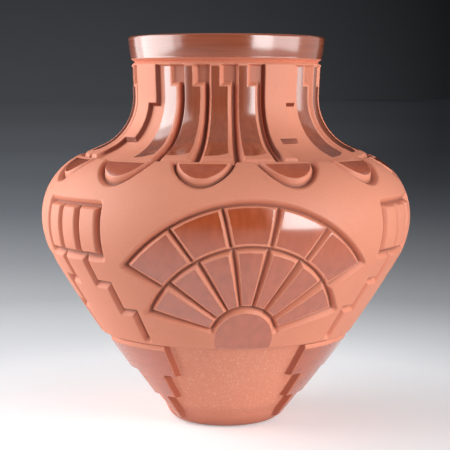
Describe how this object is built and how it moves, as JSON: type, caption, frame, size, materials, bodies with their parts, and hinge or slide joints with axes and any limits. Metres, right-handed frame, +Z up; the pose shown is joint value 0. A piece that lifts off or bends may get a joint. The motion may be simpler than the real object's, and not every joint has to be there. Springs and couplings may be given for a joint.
{
  "type": "pueblo pottery jar",
  "caption": "Wide-shouldered coiled red clay jar with a fluted neck, polished rim and carved relief of stepped panels, rayed suns and scallops, for storing dry goods or for display.",
  "frame": {"origin": "centre of the flat foot, on the surface the jar stands on", "axes": "+Z up the jar's axis, -Y towards the front of the carving, +X to the viewer's right"},
  "size_m": [0.366, 0.366, 0.3809],
  "materials": {
    "red_clay": "matte fired red clay with fine mica, burnished red slip on the raised carving",
    "polished_slip": "stone-burnished dark red slip with a soft shine"
  },
  "bodies": {
    "root": {"puki_base": "red_clay", "foot_coil_1": "red_clay", "foot_coil_2": "red_clay", "belly_coil_1": "red_clay", "belly_coil_2": "red_clay", "belly_coil_3": "red_clay", "belly_coil_4": "red_clay", "belly_coil_5": "red_clay", "belly_coil_6": "red_clay", "neck_coil_1": "red_clay", "neck_coil_2": "red_clay", "neck_coil_3": "red_clay", "rim_coil": "polished_slip"}
  },
  "joints": []
}
